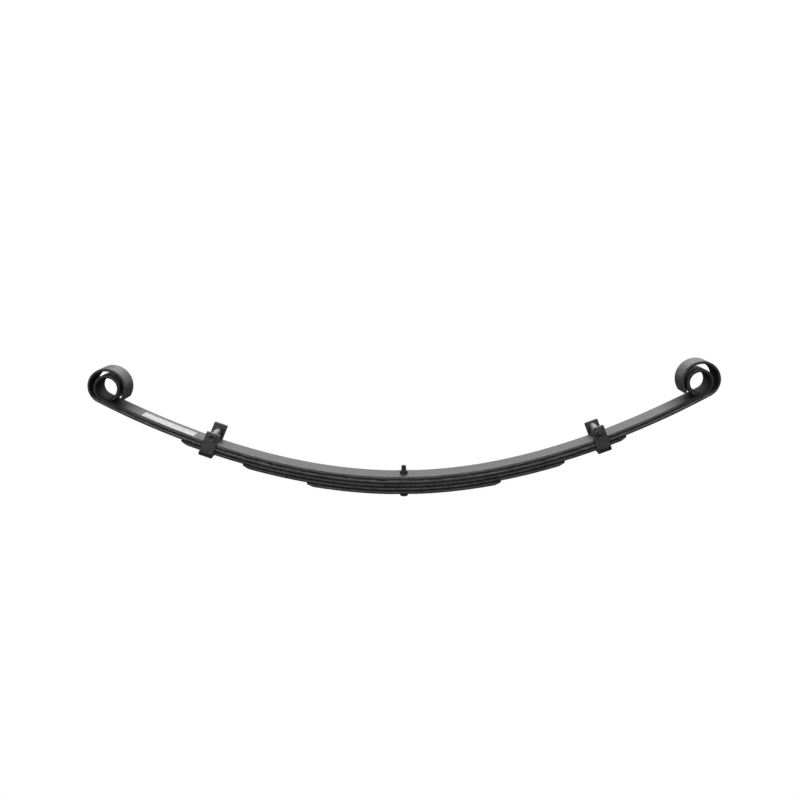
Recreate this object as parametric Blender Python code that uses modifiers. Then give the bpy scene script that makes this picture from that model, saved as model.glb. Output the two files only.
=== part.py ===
"""Five-leaf spring with a military wrap and two bolt clips, in metres, +Z up.

The spring lies along X and its leaves are LEAF_WIDTH wide along Y. The origin is the centre
of the axle seat: the underside of the shortest leaf, on the centre bolt's axis.

Every leaf follows one curved line, the main leaf's top, at its own depth below it. A place
on the spring is an arc length s from the centre bolt and a depth below that line.

The four longer leaves are cut where the spring flexes, so that each end of the spring can
turn about a hinge at the underside of the fourth leaf. The cut is a narrow V, open upward.
The leaves are flat over a short seat on both sides of the centre bolt.
"""
import math

import bmesh
import bpy
from mathutils import Matrix, Vector

ASSEMBLY = "leaf_spring"

# Leaves
LEAF_WIDTH = 0.0635
LEAF_THICKNESS = 0.00635
LEAF_GAP = 0.0003
LEAF_PITCH = LEAF_THICKNESS + LEAF_GAP
LEAF_COUNT = 5
EDGE_BEVEL = 0.0014
CENTRE_CURVATURE = 1.186
CURVATURE_FALL = 1.27
LINE_STEPS = 60
SEAT_HALF_LENGTH = 0.026
# the seat's faces are split here, so that a clear flat face starts beyond the bolt's head and nut
STACK_HEIGHT = LEAF_COUNT * LEAF_THICKNESS + (LEAF_COUNT - 1) * LEAF_GAP

# Arc length from the centre bolt to the end of each leaf's straight run or tip
MAIN_HALF_LENGTH = 0.5768
SPLIT_LEAVES = ("main_leaf", "wrapper_leaf", "third_leaf", "fourth_leaf")
TIP_ENDS = {"third_leaf": 0.4155, "fourth_leaf": 0.2955, "fifth_leaf": 0.1755}
TIP_LENGTH = 0.012
TIP_THICKNESS = 0.0028

# Eyes of the main leaf, and the second leaf's wrap around them
EYE_RADIUS = 0.0188
EYE_INNER_TURN = math.radians(330)
EYE_OUTER_TURN = math.radians(316)
WRAP_SHIFTS = {"left": 0.0036, "right": 0.0054}
WRAP_RADII = {"left": 0.0277, "right": 0.0286}
WRAP_TURN = math.radians(160)
WRAP_FLAT_RADIUS = 0.0325
WRAP_END_TURN = math.radians(268)
WRAP_TAIL = 0.0060
WRAP_THICKNESS = 0.0057
WRAP_TAPER_LENGTH = 0.070
ARC_STEP = math.radians(15)

# Flex hinges
FLEX_STATION = 0.190
FLEX_DEPTH = 4 * LEAF_THICKNESS + 3 * LEAF_GAP
FLEX_GAP = 0.0003
REBOUND_CLEARANCE = math.radians(3.6)

# Centre bolt and its nut
CENTRE_BOLT_RADIUS = 0.00476
CENTRE_HEAD_RADIUS = 0.0074
CENTRE_HEAD_HEIGHT = 0.0101
CENTRE_HEAD_CHAMFER = 0.0022
CENTRE_TIP_CHAMFER = 0.0013
CENTRE_BOLT_RISE = 0.0155
CENTRE_NUT_ACROSS_FLATS = 0.0143
CENTRE_NUT_HEIGHT = 0.0059
SPOT_FACE_RADIUS = 0.0087
SPOT_FACE_DEPTH = 0.0003
RUNNING_GAP = 0.0003

# Rebound clips
CLIP_STATIONS = {"left": 0.3645, "right": 0.3695}
# how far the arms lean towards the middle of the spring, for each metre of height
CLIP_LEANS = {"left": 0.06, "right": 0.0}
CLIP_LENGTH = 0.0260
CLIP_THICKNESS = 0.0078
CLIP_SIDE_GAP = 0.0008
CLIP_BEND = 0.0022
CLIP_LEAVES = 3
# the right clip's near ear has one rounded corner, on its inboard side
ROUNDED_EAR_SIDE = "right"
ROUNDED_EAR_RADIUS = 0.0090
ROUNDED_EAR_SEGMENTS = 5
# height of the two ears above the main leaf, head side first
CLIP_EAR_HEIGHTS = {"left": (0.0205, 0.0265), "right": (0.0222, 0.0228)}
CLIP_BOLT_HEIGHT = 0.0125
CLIP_BOLT_RADIUS = 0.0046
CLIP_HEX_ACROSS_FLATS = 0.0143
CLIP_HEAD_HEIGHT = 0.0060
CLIP_NUT_HEIGHT = 0.0078
CLIP_BOLT_STICKOUT = 0.0025
SPACER_RADIUS = 0.0066
RIVET_RADIUS = 0.0040
RIVET_HEAD_RADIUS = 0.0068
RIVET_HEAD_HEIGHT = 0.0066
RIVET_SINK_RADIUS = 0.0060
RIVET_SINK_DEPTH = 0.0026
RIVET_SINK_RIM = 0.0006

# Label on the main leaf
LABEL_START = 0.3965
LABEL_END = 0.4990
LABEL_NEAR_Y = -0.0282
LABEL_FAR_Y = 0.0087
LABEL_THICKNESS = 0.0004
LABEL_LIFT = 0.0003

ROUND_SIDES = 24
RIVET_SIDES = 16
STRAP_BEVEL = 0.0008
CUTTER_OVERRUN = 0.02
JOIN_OVERLAP = 0.002
FLAT_TOLERANCE = 0.0001

# name: base colour, metallic, roughness
FINISHES = {
    "leaf_paint": ((0.055, 0.056, 0.058), 0.0, 0.42),
    "clip_paint": ((0.045, 0.046, 0.048), 0.0, 0.45),
    "dark_fastener": ((0.09, 0.09, 0.095), 0.7, 0.45),
    "zinc_tube": ((0.62, 0.63, 0.64), 0.9, 0.35),
    "label_stock": ((0.62, 0.62, 0.60), 0.0, 0.55),
}


# ---------------------------------------------------------------- scene helpers

def clear_scene():
    for item in list(bpy.data.objects):
        bpy.data.objects.remove(item, do_unlink=True)


def new_collection(name):
    collection = bpy.data.collections.new(name)
    bpy.context.scene.collection.children.link(collection)
    return collection


def make_finishes():
    materials = {}
    for name, (colour, metallic, roughness) in FINISHES.items():
        material = bpy.data.materials.new(name)
        material.use_nodes = True
        shader = material.node_tree.nodes["Principled BSDF"]
        shader.inputs["Base Color"].default_value = (*colour, 1.0)
        shader.inputs["Metallic"].default_value = metallic
        shader.inputs["Roughness"].default_value = roughness
        material.diffuse_color = (*colour, 1.0)
        materials[name] = material
    return materials


def add_object(name, mesh, collection, finish=None):
    item = bpy.data.objects.new(name, mesh)
    collection.objects.link(item)
    if finish is not None:
        mesh.materials.append(MATERIALS[finish])
    return item


def add_empty(name, location):
    empty = bpy.data.objects.new(name, None)
    empty.empty_display_size = 0.03
    empty.location = location
    PARTS.objects.link(empty)
    return empty


def attach(item, parent):
    """Parents item and keeps its place in the world."""
    bpy.context.view_layer.update()
    item.parent = parent
    item.matrix_parent_inverse = parent.matrix_world.inverted()


def add_bevel(item, width, segments=1):
    bevel = item.modifiers.new("edges", "BEVEL")
    bevel.width = width
    bevel.segments = segments
    bevel.limit_method = "ANGLE"
    bevel.angle_limit = math.radians(40)


def combine(item, tool, operation):
    """Cuts a tool out of item or joins it on; the tool stays as a wire guide."""
    tool.hide_render = True
    tool.display_type = "WIRE"
    boolean = item.modifiers.new(tool.name, "BOOLEAN")
    boolean.operation = operation
    boolean.object = tool


def cut(item, cutter):
    combine(item, cutter, "DIFFERENCE")


# ---------------------------------------------------------------- shape helpers

def extrude_outline(name, outline, width, collection, finish=None):
    """Flat outline in XZ, extruded to width about Y = 0, as a closed mesh object."""
    shape = bmesh.new()
    near = [shape.verts.new((place.x, -width / 2, place.y)) for place in outline]
    far = [shape.verts.new((place.x, width / 2, place.y)) for place in outline]
    shape.faces.new(near)
    shape.faces.new(reversed(far))
    for i in range(len(outline)):
        shape.faces.new((near[i - 1], near[i], far[i], far[i - 1]))
    bmesh.ops.recalc_face_normals(shape, faces=shape.faces)
    mesh = bpy.data.meshes.new(name)
    shape.to_mesh(mesh)
    shape.free()
    return add_object(name, mesh, collection, finish)


def make_turned(name, profile, collection, finish=None, sides=ROUND_SIDES):
    """Solid of revolution about Z; profile is (radius, height) pairs from top to bottom."""
    mesh = bpy.data.meshes.new(name)
    edges = [(i, i + 1) for i in range(len(profile) - 1)]
    mesh.from_pydata([(radius, 0.0, height) for radius, height in profile], edges, [])
    item = add_object(name, mesh, collection, finish)
    screw = item.modifiers.new("turn", "SCREW")
    screw.steps = sides
    screw.render_steps = sides
    screw.use_merge_vertices = True
    screw.merge_threshold = 0.00001
    return item


def make_prism(name, radius, low, high, sides, collection, finish=None):
    """Straight prism or cylinder on Z between two heights."""
    shape = bmesh.new()
    bmesh.ops.create_cone(
        shape,
        cap_ends=True,
        segments=sides,
        radius1=radius,
        radius2=radius,
        depth=high - low,
        matrix=Matrix.Translation((0.0, 0.0, (high + low) / 2)),
    )
    mesh = bpy.data.meshes.new(name)
    shape.to_mesh(mesh)
    shape.free()
    return add_object(name, mesh, collection, finish)


def hex_radius(across_flats):
    return across_flats / math.sqrt(3)


# ---------------------------------------------------------------- the leaf line

def leaf_slope(s):
    """Rise of the leaf line, in radians, at arc length s."""
    return CENTRE_CURVATURE * s - CURVATURE_FALL * s * s / 2


def leaf_point(s, depth):
    """Point of the XZ side view on the +X side, depth below the main leaf's top."""
    step = s / LINE_STEPS
    x = 0.0
    z = STACK_HEIGHT - CENTRE_CURVATURE * SEAT_HALF_LENGTH**2 / 2
    for i in range(LINE_STEPS):
        middle = leaf_slope((i + 0.5) * step)
        x += math.cos(middle) * step
        z += math.sin(middle) * step
    slope = leaf_slope(s)
    return Vector((x + depth * math.sin(slope), z - depth * math.cos(slope)))


def leaf_run(start, end, depth, steps):
    return [leaf_point(start + (end - start) * i / steps, depth) for i in range(steps + 1)]


def run_from_seat(end, depth, steps):
    """Line of a leaf that crosses the centre, from the end of its flat seat out to end."""
    seat_end = Vector((SEAT_HALF_LENGTH, STACK_HEIGHT - depth))
    return [seat_end] + leaf_run(SEAT_HALF_LENGTH, end, depth, steps)[1:]


def arc(centre, radius, start, end):
    """Points from start to end angle, both ends included."""
    steps = max(1, round(abs(end - start) / ARC_STEP))
    points = []
    for i in range(steps + 1):
        angle = start + (end - start) * i / steps
        points.append(centre + radius * Vector((math.cos(angle), math.sin(angle))))
    return points


def end_frame():
    """Point, outward direction and upward normal where the main leaf's eye starts."""
    slope = leaf_slope(MAIN_HALF_LENGTH)
    outward = Vector((math.cos(slope), math.sin(slope)))
    upward = Vector((-math.sin(slope), math.cos(slope)))
    return leaf_point(MAIN_HALF_LENGTH, 0.0), outward, upward


def eye_lines():
    """Inner and outer lines of the upturned eye, from the leaf's end round to the eye's tip."""
    start, _, upward = end_frame()
    centre = start + upward * EYE_RADIUS
    base = leaf_slope(MAIN_HALF_LENGTH) - math.pi / 2
    inner = arc(centre, EYE_RADIUS, base, base + EYE_INNER_TURN)
    outer = arc(centre, EYE_RADIUS + LEAF_THICKNESS, base, base + EYE_OUTER_TURN)
    return inner, outer


def wrap_lines(side):
    """Inner and outer lines of the wrap: a round bend, a flatter bend and a straight tail."""
    end, outward, upward = end_frame()
    radius = WRAP_RADII[side]
    start = end + outward * WRAP_SHIFTS[side] - upward * LEAF_PITCH
    centre = start + upward * radius
    base = leaf_slope(MAIN_HALF_LENGTH) - math.pi / 2
    turned = base + WRAP_TURN
    toward = Vector((math.cos(turned), math.sin(turned)))
    flat_centre = centre + toward * (radius - WRAP_FLAT_RADIUS)
    finish = base + WRAP_END_TURN
    tail = Vector((-math.sin(finish), math.cos(finish))) * WRAP_TAIL
    lines = []
    for grow in (0.0, WRAP_THICKNESS):
        line = arc(centre, radius + grow, base, turned)
        line += arc(flat_centre, WRAP_FLAT_RADIUS + grow, turned, finish)[1:]
        line.append(line[-1] + tail)
        lines.append(line)
    return lines


def mirrored(outline):
    """Outline of the -X side."""
    return [Vector((-place.x, place.y)) for place in reversed(outline)]


# ---------------------------------------------------------------- leaves

def flex_cut_shift(depth):
    """How far out the end part's face stands from the flex station, at a depth."""
    return FLEX_GAP / 2 + (FLEX_DEPTH - depth) * math.tan(REBOUND_CLEARANCE)


def join_halves(upper, lower):
    """Closed outline of a symmetric leaf from its +X lines."""
    right = upper + lower[::-1]
    return right + mirrored(right)


def centre_outline(top):
    """Middle part of a leaf, between the two flex stations."""
    reach = FLEX_STATION - FLEX_GAP / 2
    upper = run_from_seat(reach, top, 8)
    lower = run_from_seat(reach, top + LEAF_THICKNESS, 8)
    return join_halves(upper, lower)


def end_outline(top, upper_end, lower_end, steps):
    """End part of a leaf, from the flex station out to where its eye, wrap or tip starts."""
    bottom = top + LEAF_THICKNESS
    upper_start = FLEX_STATION + flex_cut_shift(top)
    lower_start = FLEX_STATION + flex_cut_shift(bottom)
    upper = leaf_run(upper_start, upper_end, top, steps)
    lower = leaf_run(lower_start, lower_end, bottom, steps)
    return upper, lower


def main_end_outline():
    upper, lower = end_outline(0.0, MAIN_HALF_LENGTH, MAIN_HALF_LENGTH, 16)
    inner, outer = eye_lines()
    return upper + inner[1:] + outer[::-1][:-1] + lower[::-1]


def wrapper_end_outline(side):
    """The leaf is rolled thinner over its last stretch, where it bends round the eye."""
    upper, lower = end_outline(LEAF_PITCH, MAIN_HALF_LENGTH, MAIN_HALF_LENGTH - WRAP_TAPER_LENGTH, 16)
    inner, outer = wrap_lines(side)
    return upper + inner + outer[::-1] + lower[::-1]


def tip_corner(top, tip):
    """Lower corner of a tip whose underside is ground away."""
    return leaf_point(tip, top + TIP_THICKNESS)


def graduated_end_outline(top, tip, steps):
    upper, lower = end_outline(top, tip, tip - TIP_LENGTH, steps)
    return upper + [tip_corner(top, tip)] + lower[::-1]


def graduated_outline(top, tip, steps):
    upper = run_from_seat(tip, top, steps)
    lower = run_from_seat(tip - TIP_LENGTH, top + LEAF_THICKNESS, steps)
    return join_halves(upper, lower + [tip_corner(top, tip)])


def make_leaf(name, outline, parent=None):
    leaf = extrude_outline(name, outline, LEAF_WIDTH, PARTS, "leaf_paint")
    add_bevel(leaf, EDGE_BEVEL)
    if parent is not None:
        attach(leaf, parent)
    return leaf


def make_leaves(hinges):
    bore = CENTRE_BOLT_RADIUS + RUNNING_GAP
    high = STACK_HEIGHT + CUTTER_OVERRUN
    centre_hole = make_prism("centre_hole", bore, -CUTTER_OVERRUN, high, ROUND_SIDES, CUTTERS)
    middles = []
    for index, name in enumerate(SPLIT_LEAVES):
        middles.append(make_leaf(name + "_centre", centre_outline(index * LEAF_PITCH)))
    middles.append(make_leaf("fifth_leaf", graduated_outline(4 * LEAF_PITCH, TIP_ENDS["fifth_leaf"], 8)))
    for leaf in middles:
        cut(leaf, centre_hole)
    nut_seat = make_prism(
        "nut_spot_face", SPOT_FACE_RADIUS, STACK_HEIGHT - SPOT_FACE_DEPTH, high, ROUND_SIDES, CUTTERS
    )
    head_seat = make_prism(
        "head_spot_face", SPOT_FACE_RADIUS, -CUTTER_OVERRUN, SPOT_FACE_DEPTH, ROUND_SIDES, CUTTERS
    )
    cut(middles[0], nut_seat)
    cut(middles[-1], head_seat)
    for side, hinge in hinges.items():
        outlines = (
            main_end_outline(),
            wrapper_end_outline(side),
            graduated_end_outline(2 * LEAF_PITCH, TIP_ENDS["third_leaf"], 10),
            graduated_end_outline(3 * LEAF_PITCH, TIP_ENDS["fourth_leaf"], 5),
        )
        for name, outline in zip(SPLIT_LEAVES, outlines):
            if side == "left":
                outline = mirrored(outline)
            make_leaf(name + "_" + side, outline, hinge)


# ---------------------------------------------------------------- centre bolt

def make_centre_bolt():
    head_top = SPOT_FACE_DEPTH - RUNNING_GAP
    head_bottom = head_top - CENTRE_HEAD_HEIGHT
    tip = STACK_HEIGHT + CENTRE_BOLT_RISE
    profile = [
        (0.0, tip),
        (CENTRE_BOLT_RADIUS - CENTRE_TIP_CHAMFER, tip),
        (CENTRE_BOLT_RADIUS, tip - CENTRE_TIP_CHAMFER),
        (CENTRE_BOLT_RADIUS, head_top),
        (CENTRE_HEAD_RADIUS, head_top),
        (CENTRE_HEAD_RADIUS, head_bottom + CENTRE_HEAD_CHAMFER),
        (CENTRE_HEAD_RADIUS - CENTRE_HEAD_CHAMFER, head_bottom),
        (0.0, head_bottom),
    ]
    make_turned("centre_bolt", profile, PARTS, "dark_fastener")
    low = STACK_HEIGHT - SPOT_FACE_DEPTH + RUNNING_GAP
    high = low + CENTRE_NUT_HEIGHT
    hex_size = hex_radius(CENTRE_NUT_ACROSS_FLATS)
    nut = make_prism("centre_nut", hex_size, low, high, 6, PARTS, "dark_fastener")
    bore = CENTRE_BOLT_RADIUS + RUNNING_GAP
    nut_bore = make_prism(
        "centre_nut_bore", bore, low - CUTTER_OVERRUN, high + CUTTER_OVERRUN, ROUND_SIDES, CUTTERS
    )
    cut(nut, nut_bore)


# ---------------------------------------------------------------- rebound clips

def strap_outline(side):
    """U of the clip strap in its own plane: across the spring, and up from the main leaf's top."""
    inside = LEAF_WIDTH / 2 + CLIP_SIDE_GAP
    outside = inside + CLIP_THICKNESS
    floor = -(CLIP_LEAVES * LEAF_PITCH)
    base = floor - CLIP_THICKNESS
    head_ear, nut_ear = CLIP_EAR_HEIGHTS[side]
    bend = CLIP_BEND
    outer_bend = CLIP_BEND + CLIP_THICKNESS
    quarter = math.pi / 2
    outline = [Vector((-inside, head_ear))]
    outline += arc(Vector((-inside + bend, floor + bend)), bend, 2 * quarter, 3 * quarter)
    outline += arc(Vector((inside - bend, floor + bend)), bend, -quarter, 0.0)
    outline += [Vector((inside, nut_ear)), Vector((outside, nut_ear))]
    outline += arc(Vector((outside - outer_bend, base + outer_bend)), outer_bend, 0.0, -quarter)
    outline += arc(Vector((-outside + outer_bend, base + outer_bend)), outer_bend, -quarter, -2 * quarter)
    outline.append(Vector((-outside, head_ear)))
    return outline


def lean_shift(side, height):
    """How far inboard a clip's arms stand at a height above the main leaf."""
    return CLIP_LEANS[side] * (height + CLIP_LEAVES * LEAF_PITCH)


def lean_matrix(side):
    lean = Matrix.Identity(4)
    lean[0][2] = CLIP_LEANS[side]
    lean[0][3] = lean_shift(side, 0.0)
    return lean


def round_ear_corner(strap, height):
    """Rounds the inboard corner of the ear on the strap's +Y side."""
    mesh = strap.data
    weights = mesh.attributes.new("bevel_weight_edge", "FLOAT", "EDGE")
    corner = Vector((CLIP_LENGTH / 2, height))
    for edge in mesh.edges:
        ends = [mesh.vertices[index].co for index in edge.vertices]
        if all(end.y > 0 and (Vector((end.x, end.z)) - corner).length < FLAT_TOLERANCE for end in ends):
            weights.data[edge.index].value = 1.0
    bevel = strap.modifiers.new("corner", "BEVEL")
    bevel.width = ROUNDED_EAR_RADIUS
    bevel.segments = ROUNDED_EAR_SEGMENTS
    bevel.limit_method = "WEIGHT"


def turn_to_y(item, side):
    """Lays a part made on +Z along +Y, on the axis of a clip's bolt."""
    place = Vector((lean_shift(side, CLIP_BOLT_HEIGHT), 0.0, CLIP_BOLT_HEIGHT))
    item.matrix_world = Matrix.Translation(place) @ Matrix.Rotation(-math.pi / 2, 4, "X")


def make_clip(side, hinge):
    """One clip, made about its own frame: X along the leaf, Z off the main leaf's top."""
    inside = LEAF_WIDTH / 2 + CLIP_SIDE_GAP
    outside = inside + CLIP_THICKNESS
    pieces = []

    strap = extrude_outline(side + "_clip_strap", strap_outline(side), CLIP_LENGTH, PARTS, "clip_paint")
    strap.data.transform(Matrix.Rotation(math.pi / 2, 4, "Z"))
    if side == ROUNDED_EAR_SIDE:
        round_ear_corner(strap, CLIP_EAR_HEIGHTS[side][1])
    strap.data.transform(lean_matrix(side))
    add_bevel(strap, STRAP_BEVEL)
    pieces.append(strap)

    bore = CLIP_BOLT_RADIUS + RUNNING_GAP
    reach = outside + CUTTER_OVERRUN
    bolt_bore = make_prism(side + "_clip_bolt_bore", bore, -reach, reach, ROUND_SIDES, CUTTERS)
    turn_to_y(bolt_bore, side)
    cut(strap, bolt_bore)

    hex_size = hex_radius(CLIP_HEX_ACROSS_FLATS)
    face = outside + RUNNING_GAP
    nut_end = face + CLIP_NUT_HEIGHT
    bolt_end = nut_end + CLIP_BOLT_STICKOUT
    head_end = -face - CLIP_HEAD_HEIGHT
    bolt = make_prism(side + "_clip_bolt", hex_size, head_end, -face, 6, PARTS, "dark_fastener")
    shank = make_prism(
        side + "_clip_shank", CLIP_BOLT_RADIUS, -face - JOIN_OVERLAP, bolt_end, ROUND_SIDES, CUTTERS
    )
    combine(bolt, shank, "UNION")
    turn_to_y(bolt, side)
    turn_to_y(shank, side)
    pieces.append(bolt)

    nut = make_prism(side + "_clip_nut", hex_size, face, nut_end, 6, PARTS, "dark_fastener")
    turn_to_y(nut, side)
    cut(nut, bolt_bore)
    pieces.append(nut)

    tube_end = inside - RUNNING_GAP
    tube_profile = [
        (bore, tube_end),
        (SPACER_RADIUS, tube_end),
        (SPACER_RADIUS, -tube_end),
        (bore, -tube_end),
        (bore, tube_end),
    ]
    spacer = make_turned(side + "_clip_spacer", tube_profile, PARTS, "zinc_tube")
    turn_to_y(spacer, side)
    pieces.append(spacer)

    leaf_top = -(CLIP_LEAVES - 1) * LEAF_PITCH
    strap_base = -(CLIP_LEAVES * LEAF_PITCH) - CLIP_THICKNESS
    rivet_profile = rivet_lines(leaf_top, strap_base - RUNNING_GAP, 0.0)
    rivet = make_turned(side + "_clip_rivet", rivet_profile, PARTS, "clip_paint", RIVET_SIDES)
    pieces.append(rivet)
    hole_profile = rivet_lines(leaf_top + LEAF_THICKNESS / 2, strap_base - CUTTER_OVERRUN, RUNNING_GAP)
    hole = make_turned(side + "_rivet_hole", hole_profile, CUTTERS, None, RIVET_SIDES)
    cut(strap, hole)

    place = clip_matrix(side)
    for piece in pieces + [bolt_bore, shank, hole]:
        bpy.context.view_layer.update()
        piece.matrix_world = place @ piece.matrix_world
    cut(bpy.data.objects["third_leaf_" + side], hole)
    for piece in pieces:
        attach(piece, hinge)


def rivet_lines(top, bottom, grow):
    """Rivet profile: sunk head flush with the third leaf, shank, and round head underneath.

    A cutter passes grow, and a top and bottom past the real ones: it is the shank and the
    sunk head only, made larger by grow.
    """
    leaf_top = -(CLIP_LEAVES - 1) * LEAF_PITCH
    sink_bottom = leaf_top - RIVET_SINK_DEPTH
    profile = [
        (0.0, top),
        (RIVET_SINK_RADIUS + grow, top),
        (RIVET_SINK_RADIUS + grow, leaf_top - RIVET_SINK_RIM - grow),
        (RIVET_RADIUS + grow, sink_bottom - grow),
        (RIVET_RADIUS + grow, bottom),
    ]
    if grow > 0:
        return profile + [(0.0, bottom)]
    for place in arc(Vector((0.0, 0.0)), 1.0, 0.0, math.pi / 2)[:-1]:
        profile.append((RIVET_HEAD_RADIUS * place.x, bottom - RIVET_HEAD_HEIGHT * place.y))
    profile.append((0.0, bottom - RIVET_HEAD_HEIGHT))
    return profile


def clip_matrix(side):
    """World place of a clip's frame; the left clip is the right one turned about Z."""
    station = CLIP_STATIONS[side]
    place = leaf_point(station, 0.0)
    tilt = Matrix.Rotation(-leaf_slope(station), 4, "Y")
    right = Matrix.Translation((place.x, 0.0, place.y)) @ tilt
    if side == "right":
        # the bolt's head faces +Y on this side
        return right @ Matrix.Rotation(math.pi, 4, "Z")
    return Matrix.Rotation(math.pi, 4, "Z") @ right @ Matrix.Rotation(math.pi, 4, "Z")


# ---------------------------------------------------------------- label

def make_label(hinge):
    """Thin rectangle that follows the main leaf's top."""
    lower = leaf_run(LABEL_START, LABEL_END, -LABEL_LIFT, 6)
    upper = leaf_run(LABEL_START, LABEL_END, -LABEL_LIFT - LABEL_THICKNESS, 6)
    width = LABEL_FAR_Y - LABEL_NEAR_Y
    label = extrude_outline("label", mirrored(upper + lower[::-1]), width, PARTS, "label_stock")
    label.location.y = (LABEL_FAR_Y + LABEL_NEAR_Y) / 2
    attach(label, hinge)


# ---------------------------------------------------------------- assembly

def make_hinges():
    place = leaf_point(FLEX_STATION, FLEX_DEPTH)
    return {
        "right": add_empty("right_flex_axis", (place.x, 0.0, place.y)),
        "left": add_empty("left_flex_axis", (-place.x, 0.0, place.y)),
    }


clear_scene()
MATERIALS = make_finishes()
PARTS = new_collection(ASSEMBLY)
CUTTERS = new_collection("cutters")
HINGES = make_hinges()
make_leaves(HINGES)
make_centre_bolt()
for clip_side in ("left", "right"):
    make_clip(clip_side, HINGES[clip_side])
make_label(HINGES["left"])
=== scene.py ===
"""Looks of a five-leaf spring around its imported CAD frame, in metres, +Z up.

Every leaf follows one curved line, the main leaf's top, at its own depth below it. A place
on the spring is an arc length s from the centre bolt and a depth below that line. Each leaf is
drawn as two halves that meet under the centre nut, because a piece bends across one joint only.
"""
import math

import bmesh
import bpy
from mathutils import Matrix, Vector
from mathutils.bvhtree import BVHTree
from mathutils.interpolate import poly_3d_calc
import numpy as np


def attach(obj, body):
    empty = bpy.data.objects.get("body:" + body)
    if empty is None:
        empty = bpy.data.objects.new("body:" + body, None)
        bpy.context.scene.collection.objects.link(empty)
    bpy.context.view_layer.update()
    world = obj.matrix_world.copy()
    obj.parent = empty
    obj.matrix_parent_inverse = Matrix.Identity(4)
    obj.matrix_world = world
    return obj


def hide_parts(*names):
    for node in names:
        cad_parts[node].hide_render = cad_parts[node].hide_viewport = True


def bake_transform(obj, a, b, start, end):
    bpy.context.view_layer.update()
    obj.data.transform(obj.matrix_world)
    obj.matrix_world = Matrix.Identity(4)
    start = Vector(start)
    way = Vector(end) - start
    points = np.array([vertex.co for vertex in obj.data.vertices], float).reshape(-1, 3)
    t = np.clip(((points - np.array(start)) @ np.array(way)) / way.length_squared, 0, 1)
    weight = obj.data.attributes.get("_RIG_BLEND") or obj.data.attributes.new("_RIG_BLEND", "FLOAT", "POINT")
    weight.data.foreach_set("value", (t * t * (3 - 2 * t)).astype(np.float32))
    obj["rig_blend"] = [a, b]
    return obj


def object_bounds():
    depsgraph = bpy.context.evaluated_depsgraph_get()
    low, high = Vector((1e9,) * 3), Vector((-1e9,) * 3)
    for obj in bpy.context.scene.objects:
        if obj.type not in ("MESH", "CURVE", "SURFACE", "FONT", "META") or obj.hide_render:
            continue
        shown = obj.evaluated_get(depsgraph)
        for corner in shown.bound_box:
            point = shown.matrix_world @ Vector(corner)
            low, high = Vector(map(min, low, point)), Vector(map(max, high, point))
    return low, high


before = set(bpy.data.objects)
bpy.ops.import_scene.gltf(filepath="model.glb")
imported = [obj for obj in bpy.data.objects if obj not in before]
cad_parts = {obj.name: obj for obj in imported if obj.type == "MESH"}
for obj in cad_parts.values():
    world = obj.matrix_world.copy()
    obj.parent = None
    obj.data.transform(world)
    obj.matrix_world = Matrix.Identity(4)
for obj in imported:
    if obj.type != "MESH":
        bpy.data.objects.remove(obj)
CAD_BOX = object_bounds()

# ---------------------------------------------------------------- sizes shared with the CAD

LEAF_WIDTH = 0.0635
LEAF_THICKNESS = 0.00635
LEAF_PITCH = 0.00665
STACK_HEIGHT = 0.03295
SEAT_HALF_LENGTH = 0.026
CENTRE_CURVATURE = 1.186
CURVATURE_FALL = 1.27
MAIN_HALF_LENGTH = 0.5768
LEAF_NAMES = ("main_leaf", "wrapper_leaf", "third_leaf", "fourth_leaf", "fifth_leaf")
TIP_ENDS = {"third_leaf": 0.4155, "fourth_leaf": 0.2955, "fifth_leaf": 0.1755}
TIP_LENGTH = 0.012
TIP_THICKNESS = 0.0028

EYE_RADIUS = 0.0188
EYE_INNER_TURN = math.radians(330)
EYE_OUTER_TURN = math.radians(316)
WRAP_SHIFTS = {"left": 0.0036, "right": 0.0054}
WRAP_RADII = {"left": 0.0277, "right": 0.0286}
WRAP_TURN = math.radians(160)
WRAP_FLAT_RADIUS = 0.0325
WRAP_END_TURN = math.radians(268)
WRAP_TAIL = 0.0060
# 0.3 mm less than in the CAD, so that the finer arc stays inside the CAD's facets
WRAP_THICKNESS = 0.0054
WRAP_TAPER_LENGTH = 0.070

RUNNING_GAP = 0.0003
CENTRE_BOLT_RADIUS = 0.00476
CENTRE_HEAD_RADIUS = 0.0074
CENTRE_HEAD_HEIGHT = 0.0101
CENTRE_BOLT_RISE = 0.0155
CENTRE_NUT_ACROSS_FLATS = 0.0143
CENTRE_NUT_HEIGHT = 0.0059
SPOT_FACE_RADIUS = 0.0087
SPOT_FACE_DEPTH = 0.0003

CLIP_STATIONS = {"left": 0.3645, "right": 0.3695}
CLIP_LEANS = {"left": 0.06, "right": 0.0}
CLIP_LENGTH = 0.0260
CLIP_THICKNESS = 0.0078
CLIP_SIDE_GAP = 0.0008
CLIP_BEND = 0.0022
CLIP_LEAVES = 3
# height of the two ears above the main leaf, bolt head side first
CLIP_EAR_HEIGHTS = {"left": (0.0205, 0.0265), "right": (0.0222, 0.0228)}
ROUNDED_EAR_SIDE = "right"
ROUNDED_EAR_RADIUS = 0.0090
CLIP_BOLT_HEIGHT = 0.0125
CLIP_BOLT_RADIUS = 0.0046
CLIP_HEX_ACROSS_FLATS = 0.0143
CLIP_HEAD_HEIGHT = 0.0060
CLIP_NUT_HEIGHT = 0.0078
CLIP_BOLT_STICKOUT = 0.0025
SPACER_RADIUS = 0.0066
RIVET_RADIUS = 0.0040
RIVET_HEAD_RADIUS = 0.0068
RIVET_HEAD_HEIGHT = 0.0066
RIVET_SINK_RADIUS = 0.0060
RIVET_SINK_DEPTH = 0.0026

LABEL_START = 0.3965
LABEL_END = 0.4990
LABEL_NEAR_Y = -0.0282
LABEL_FAR_Y = 0.0087
LABEL_THICKNESS = 0.0004
LABEL_LIFT = 0.0003

# ---------------------------------------------------------------- sizes of the drawn detail

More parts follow.
